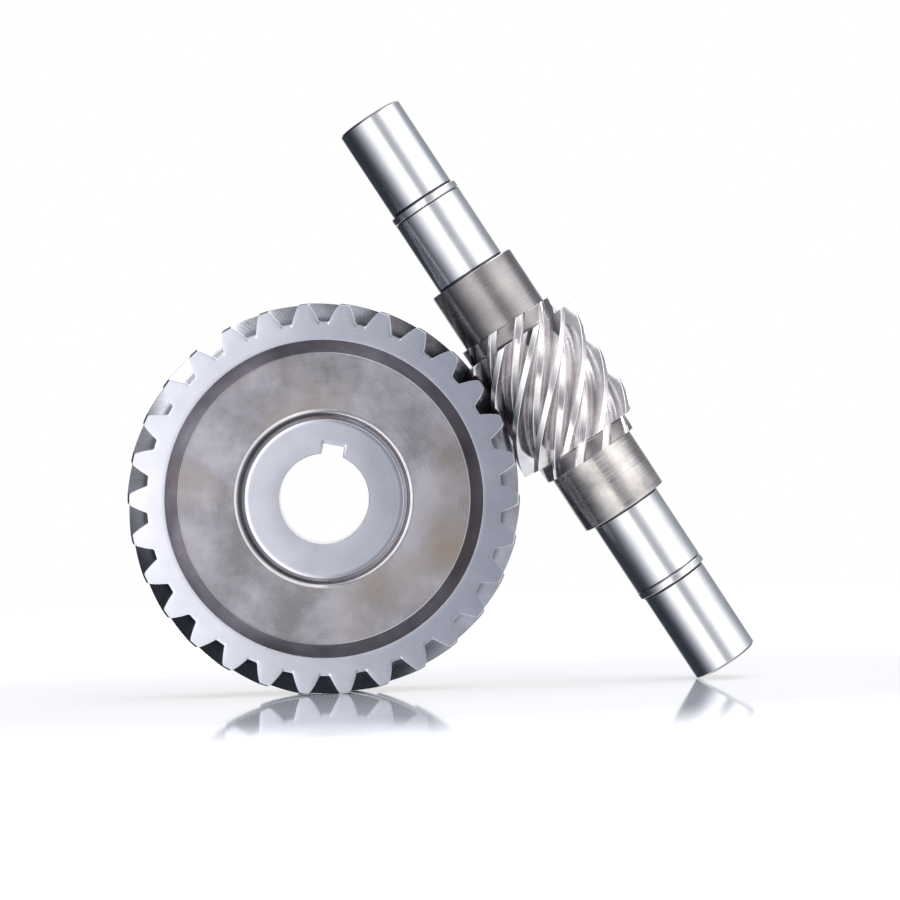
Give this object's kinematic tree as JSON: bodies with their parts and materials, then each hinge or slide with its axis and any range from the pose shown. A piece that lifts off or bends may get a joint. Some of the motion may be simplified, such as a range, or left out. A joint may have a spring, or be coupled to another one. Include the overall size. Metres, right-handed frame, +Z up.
{
  "type": "worm gear set",
  "caption": "Multi-start steel worm on its own bearing shaft, in mesh at right angles with a keyed helical wheel that it drives at a third of its speed.",
  "frame": {"origin": "centre of the wheel, on its bore axis and midway between its two faces", "axes": "+Y along the wheel's bore axis, away from the front face; +Z up with the wheel stood on its rim; the worm shaft lies in the XZ plane and leans left as it rises"},
  "size_m": [0.2916, 0.0632, 0.2771],
  "materials": {
    "wheel_steel": "machined faces, darker forged web",
    "shaft_steel": "ground seats and threads, turned shoulders",
    "ring_steel": "ground"
  },
  "bodies": {
    "fixed_rings": {"thrust_ring_upper": "ring_steel", "thrust_ring_lower": "ring_steel"},
    "wheel": {"worm_wheel": "wheel_steel"},
    "shaft": {"worm_shaft": "shaft_steel"}
  },
  "joints": [
    {"name": "wheel_spin", "type": "hinge", "parent": "fixed_rings", "child": "wheel", "pos_m": [0, 0, 0], "axis": [0, 1, 0], "continuous": true},
    {"name": "worm_spin", "type": "hinge", "parent": "fixed_rings", "child": "shaft", "pos_m": [0.10701, 0, 0.04739], "axis": [-0.5225, 0, 0.8527], "continuous": true}
  ],
  "couplings": [
    {"joint": "worm_spin", "follows": "wheel_spin", "ratio": 3}
  ]
}
